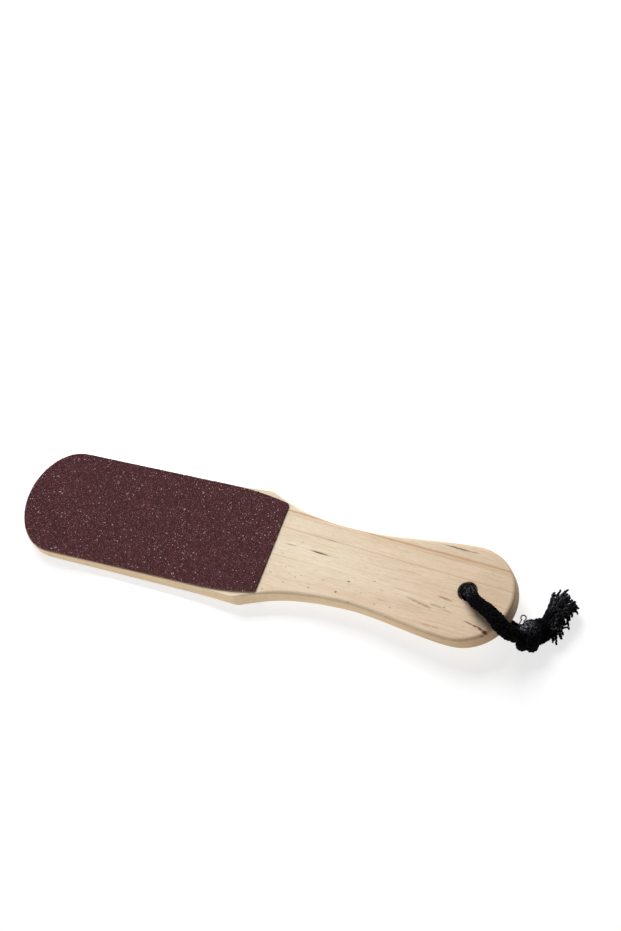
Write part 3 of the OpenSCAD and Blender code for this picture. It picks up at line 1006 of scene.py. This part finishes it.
def birch():
    """Sanded birch, with its grain in millimetres along the board."""
    finish, tree, place = new_finish("sanded_birch")
    board = node(tree, "ShaderNodeMapping", PLACED, {
        "Vector": place.outputs["Object"],
        "Location": (-laid_length / 2 * MM, 0, lift * MM),
        "Rotation": (0, -taper_angle, 0),
        "Scale": (MM, MM, MM),
    })
    flow = node(tree, "ShaderNodeMapping", PLACED, {
        "Vector": board, "Rotation": (0.25, 0, math.radians(-3.4)),
    })
    slowly = node(tree, "ShaderNodeMapping", {}, {"Vector": flow, "Scale": (0.012, 0.05, 0.05)})
    wander = node(tree, "ShaderNodeTexNoise", {}, {"Vector": slowly, "Scale": 1.0, "Detail": 2.0})
    moved = node(tree, "ShaderNodeVectorMath", {"operation": "MULTIPLY_ADD"}, {
        0: wander.outputs["Color"], 1: (0, 4, 4), 2: flow,
    })
    # Four grains of different size, each given in turns per millimetre along, across and through the board:
    # bands of growth 8 mm wide, streaks 1 mm wide and 20 mm long, fibres 0.3 mm wide and dark dashes. Real
    # fibres are thinner than a hair, so they are drawn coarser, or they wouldn't show. Then each has where it
    # starts and is full, how strong it gets, and its colour.
    layers = [
        ("bands", (0.008, 0.12, 0.12), 0.36, 0.64, 0.7, "#e0cbae"),
        ("streaks", (0.05, 1.0, 1.0), 0.46, 0.74, 0.45, "#cdb394"),
        ("fibres", (0.3, 3.2, 3.2), 0.5, 0.75, 0.42, "#b39a7b"),
        ("dashes", (0.3, 2.2, 2.2), 0.66, 0.74, 0.5, "#93795a"),
    ]
    grain = {}
    colour = linear("#ead9c0")
    for name, turns, low, high, strength, shade in layers:
        stretched = node(tree, "ShaderNodeMapping", {}, {"Vector": moved, "Scale": turns})
        colour, _, grain[name] = patchy(
            tree, stretched, {"Scale": 1.0, "Detail": 3.0, "Roughness": 0.55},
            low, high, strength, colour, shade)
    # Where the surface faces sideways, on the sawn sides, its colour is made warmer and a little darker.
    facing = node(tree, "ShaderNodeSeparateXYZ", {}, {0: place.outputs["Normal"]})
    level = node(tree, "ShaderNodeMath", {"operation": "ABSOLUTE"}, {0: facing.outputs[2]})
    sawn = node(tree, "ShaderNodeMapRange", SMOOTH, {
        "Value": level, "From Min": 0.3, "From Max": 0.95, "To Min": 1.0, "To Max": 0.0,
    })
    # Painted shade: the handle is made darker towards its end, and its sides there the most, as the light
    # falls off away from the blade.
    axis = node(tree, "ShaderNodeSeparateXYZ", {}, {0: board})
    handle_end_shade = node(tree, "ShaderNodeMapRange", SMOOTH, {
        "Value": axis.outputs[0], "From Min": 150, "From Max": 270,
    })
    far_end = node(tree, "ShaderNodeMapRange", SMOOTH, {
        "Value": axis.outputs[0], "From Min": 204, "From Max": 240,
    })
    far_end_side_shade = node(tree, "ShaderNodeMath", {"operation": "MULTIPLY"}, {0: far_end, 1: sawn})
    # The warmer sides follow only which way the surface faces; the darker end of the handle and its darker
    # sides there are painted shade.
    for share, tint in ((sawn, "#fff4e2"), (handle_end_shade, "#ebe2da"), (far_end_side_shade, "#f0f0ea")):
        colour = node(tree, "ShaderNodeMix", MULTIPLIED, {
            0: share, 6: colour, 7: linear(tint),
        }).outputs[2]
    for x, y, tilt, wide, strength in growth_lines:
        line = node(tree, "ShaderNodeMapping", PLACED, {
            "Vector": board, "Location": (x, y, 0), "Rotation": (0.35, 0, math.radians(tilt)),
        })
        apart = node(tree, "ShaderNodeSeparateXYZ", {}, {0: line})
        wavy = node(tree, "ShaderNodeMath", {"operation": "MULTIPLY_ADD"}, {
            0: wander.outputs["Fac"], 1: 1.6, 2: apart.outputs[1],
        })
        off = node(tree, "ShaderNodeMath", {"operation": "SUBTRACT"}, {0: wavy, 1: 0.8})
        distance = node(tree, "ShaderNodeMath", {"operation": "ABSOLUTE"}, {0: off})
        shown = node(tree, "ShaderNodeMapRange", {}, {
            "Value": distance, "From Min": wide * 0.3, "From Max": wide * 1.8,
            "To Min": strength * 0.7, "To Max": 0.0,
        })
        colour = node(tree, "ShaderNodeMix", MIXED, {
            0: shown, 6: colour, 7: linear("#b98a5b"),
        }).outputs[2]
    # Marks are ragged, because the fibres cross their edges.
    rough_edge = node(tree, "ShaderNodeTexNoise", {}, {"Vector": board, "Scale": 1.3, "Detail": 2.0})
    ragged = node(tree, "ShaderNodeVectorMath", {"operation": "MULTIPLY_ADD"}, {
        0: rough_edge.outputs["Color"], 1: (1.2, 0.5, 0), 2: board,
    })
    centred = node(tree, "ShaderNodeVectorMath", {"operation": "SUBTRACT"}, {
        0: ragged, 1: (0.6, 0.25, 0),
    })
    for marks, depth, shade in kinds_of_mark:
        mask = marks_mask(tree, centred, marks, depth)
        colour = node(tree, "ShaderNodeMix", MIXED, {0: mask, 6: colour, 7: linear(shade)}).outputs[2]
    polish = node(tree, "ShaderNodeMapRange", {}, {
        "Value": grain["streaks"], "From Min": 0.3, "From Max": 0.7, "To Min": 0.52, "To Max": 0.68,
    })
    grooves = node(tree, "ShaderNodeMath", {"operation": "ADD"}, {0: grain["streaks"], 1: grain["fibres"]})
    relief = node(tree, "ShaderNodeBump", {}, {"Height": grooves, "Strength": 0.25, "Distance": 0.1 * MM})
    return shaded(finish, {
        "Base Color": colour, "Roughness": polish, "Normal": relief,
        "IOR": 1.5, "Specular IOR Level": 0.3,
    })


paddle.data.materials.append(birch())

# %% [markdown]
# ### Abrasive grains in resin
#
# The grains are brown fused alumina, a dark glassy mineral, in a maroon resin. Most grains are as dark as the
# resin and some are paler. A very few are nearly white: these are painted glints, grains coloured as if they
# caught the light. Each grain carries its own shade, which was stored when it was set out, and the bed
# between them has the shade 0.

# %% Grit


def alumina(name, shades):
    """Grains of different shades in resin. Each shade: where it starts, where it is full, its colour."""
    finish, tree, place = new_finish(name)
    shade = node(tree, "ShaderNodeAttribute", {"attribute_name": "grain_shade"})
    colour = linear("#4a2226")
    for start, end, grain_colour in shades:
        shown = node(tree, "ShaderNodeMapRange", {}, {
            "Value": shade.outputs["Fac"], "From Min": start, "From Max": end,
        })
        colour = node(tree, "ShaderNodeMix", MIXED, {
            0: shown, 6: colour, 7: linear(grain_colour),
        }).outputs[2]
    colour, _, _ = patchy(
        tree, place.outputs["Object"], {"Scale": 560.0, "Detail": 3.0},
        0.42, 0.6, 0.5, colour, "#a08c8e", MULTIPLIED)
    gloss = node(tree, "ShaderNodeMapRange", {}, {
        "Value": shade.outputs["Fac"], "From Min": 0.3, "From Max": 1.0, "To Min": 0.65, "To Max": 0.3,
    })
    return shaded(finish, {
        "Base Color": colour, "Roughness": gloss, "IOR": 1.5, "Specular IOR Level": 0.12,
    })


# Each row: the shade from which a colour starts to show, the shade at which it is full, and the colour.
# The nearly white rows are painted glints.
coarse_shades = [
    (0.02, 0.04, "#452122"), (0.2, 0.8, "#ac7b7d"), (0.85, 0.95, "#b99596"),
    (pale_share, pale_share + 0.004, "#cdb3b2"), (0.985, 0.987, "#dccac8"), (0.996, 0.997, "#f0e4e0"),
]
# Its last row is a painted glint.
fine_shades = [
    (0.02, 0.04, "#462023"), (0.2, 0.9, "#996567"), (0.96, 0.964, "#b59392"), (0.995, 0.996, "#e8d8d4"),
]
front_coat.data.materials.append(alumina("coarse_fused_alumina", coarse_shades))
rear_coat.data.materials.append(alumina("fine_fused_alumina", fine_shades))

# %% [markdown]
# ### Backing paper and glue
#
# Only the cut edges of the paper and of the glue show, as two thin lines. The paper is heavy, soaked with
# brown resin, and its cut edge is fibrous. The glue is a yellowish film, thicker in some places.

# %% Paper and glue


def backing_paper():
    """Heavy paper soaked with resin, with its plies showing at the cut."""
    finish, tree, place = new_finish("resin_soaked_paper")
    plies = node(tree, "ShaderNodeMapping", {}, {
        "Vector": place.outputs["Object"], "Scale": (900, 900, 6000),
    })
    colour, _, fibres = patchy(
        tree, plies, {"Scale": 1.0, "Detail": 4.0}, 0.35, 0.65, 1.0, linear("#33201c"), "#4c3029")
    relief = node(tree, "ShaderNodeBump", {}, {"Height": fibres, "Strength": 0.4, "Distance": 0.05 * MM})
    return shaded(finish, {"Base Color": colour, "Normal": relief, "Roughness": 0.85})


def dried_glue():
    """A yellowish film of glue, thicker in some places."""
    finish, tree, place = new_finish("dried_wood_glue")
    colour, thick, _ = patchy(
        tree, place.outputs["Object"], {"Scale": 300.0, "Detail": 2.0},
        0.4, 0.6, 1.0, linear("#d9c39a"), "#c2a676")
    gloss = node(tree, "ShaderNodeMapRange", {}, {"Value": thick, "To Min": 0.5, "To Max": 0.3})
    return shaded(finish, {"Base Color": colour, "Roughness": gloss})


paper = backing_paper()
glue = dried_glue()
for cad_name, finish in (
    ("front_backing", paper), ("rear_backing", paper), ("front_adhesive", glue), ("rear_adhesive", glue),
):
    cad_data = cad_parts[cad_name].data
    cad_data.materials.clear()
    cad_data.materials.append(finish)
print("Paper and glue are on their CAD layers")

# %% [markdown]
# ### Black cotton
#
# Dyed cotton is matt and takes the light softly at its edges, because short fibres stand out from the yarn.
# The sheen of the shader does that, but only a little of it, or the black would turn grey. Grey patches lie
# on the top of the knot, on the cut ends and where the cord comes out of the hole. They are partly lint and
# dust, and partly painted sheen where the light catches these tops of the cord. Each patch is a soft ball
# round a place.

# %% Cotton
# Each patch: its middle and its radius in millimetres, and its strength.
dust_and_sheen_patches = [
    ((137.2, -7.2, 14.6), 5.8, 1.0), ((148, 9, 9), 11, 0.3), ((150, -3.4, 9.5), 4.4, 0.65),
    ((142, -9, 14), 4, 0.25), ((110, -2, 24.5), 5, 0.3),
]


def black_cotton():
    """Black cotton with patches of lint and dust and of painted sheen."""
    finish, tree, place = new_finish("black_cotton")
    colour, fluffy, fuzz = patchy(
        tree, place.outputs["Object"], {"Scale": 900.0, "Detail": 3.0},
        0.42, 0.72, 1.0, linear("#060607"), "#120f12")
    # Each patch greys the black: partly lint and dust, partly painted sheen where the light catches the tops
    # of the cord.
    for middle, radius, strength in dust_and_sheen_patches:
        away = node(tree, "ShaderNodeVectorMath", {"operation": "DISTANCE"}, {
            0: place.outputs["Object"], 1: tuple(Vector(middle) * MM),
        })
        patch_strength = node(tree, "ShaderNodeMapRange", SMOOTH, {
            "Value": away.outputs["Value"], "From Min": radius * 0.2 * MM, "From Max": radius * MM,
            "To Min": strength, "To Max": 0.0,
        })
        dust_and_sheen = node(tree, "ShaderNodeMath", {"operation": "MULTIPLY"}, {0: patch_strength, 1: fluffy})
        colour = node(tree, "ShaderNodeMix", MIXED, {
            0: dust_and_sheen, 6: colour, 7: linear("#94959e"),
        }).outputs[2]
    relief = node(tree, "ShaderNodeBump", {}, {"Height": fuzz, "Strength": 0.6, "Distance": 0.15 * MM})
    return shaded(finish, {
        "Base Color": colour, "Normal": relief, "Roughness": 0.9, "Specular IOR Level": 0.03,
        "Sheen Weight": 0.025, "Sheen Roughness": 0.5, "Sheen Tint": linear("#b9bcd0"),
    })


cotton = black_cotton()
for piece in (cord_loop, cord_knot, long_tail, short_tail, cord_lint):
    piece.data.materials.append(cotton)

# %% [markdown]
# ## The studio
#
# The photograph was taken on a glossy white table that is itself lit, under one broad soft light from behind
# and to the left. So the rounded lower edges, which face the dark side of the room, are the darkest lines of
# the wood, and its side wall is lit by the table. The room is dim, and the table glows a little. A second,
# low light at the left front makes the side wall lighter towards the tip of the blade, as it is in the
# photograph.

# %% Floor
floor_half_size = 3


def lit_table():
    """Glossy white acrylic with light behind it. It is faintly milky, which the eye hardly sees."""
    finish, tree, place = new_finish("lit_white_table")
    milky, _, _ = patchy(
        tree, place.outputs["Object"], {"Scale": 2.0}, 0.0, 1.0, 1.0, linear("#989898"), "#9c9c9c")
    return shaded(finish, {
        "Base Color": milky, "Roughness": 0.12, "IOR": 1.6,
        "Emission Color": WHITE, "Emission Strength": 0.74,
    })


tabletop = bmesh.new()
bmesh.ops.create_grid(tabletop, x_segments=1, y_segments=1, size=floor_half_size)
floor = add_shape("floor", tabletop)
floor.data.materials.append(lit_table())

# %% Lights
room_light = 0.1

world = bpy.data.worlds.new("studio")
world.use_nodes = True
background = world.node_tree.nodes["Background"]
background.inputs["Color"].default_value = WHITE
background.inputs["Strength"].default_value = room_light
bpy.context.scene.world = world
bpy.context.scene.view_settings.view_transform = "Standard"


def softbox(name, place, width, watts):
    """A square light that stands at a place and points at the middle of the object."""
    data = bpy.data.lights.new(name, "AREA")
    data.size = width
    data.energy = watts
    lamp = add_object(name, data)
    lamp.location = place
    lamp.rotation_euler = pointing(place, (0, 0, 0)).to_euler()


softbox("key_light", (-0.75, 1.3, 1.6), width=1.2, watts=61)
softbox("front_light", (-1.2, -1.8, 0.35), width=0.6, watts=16)
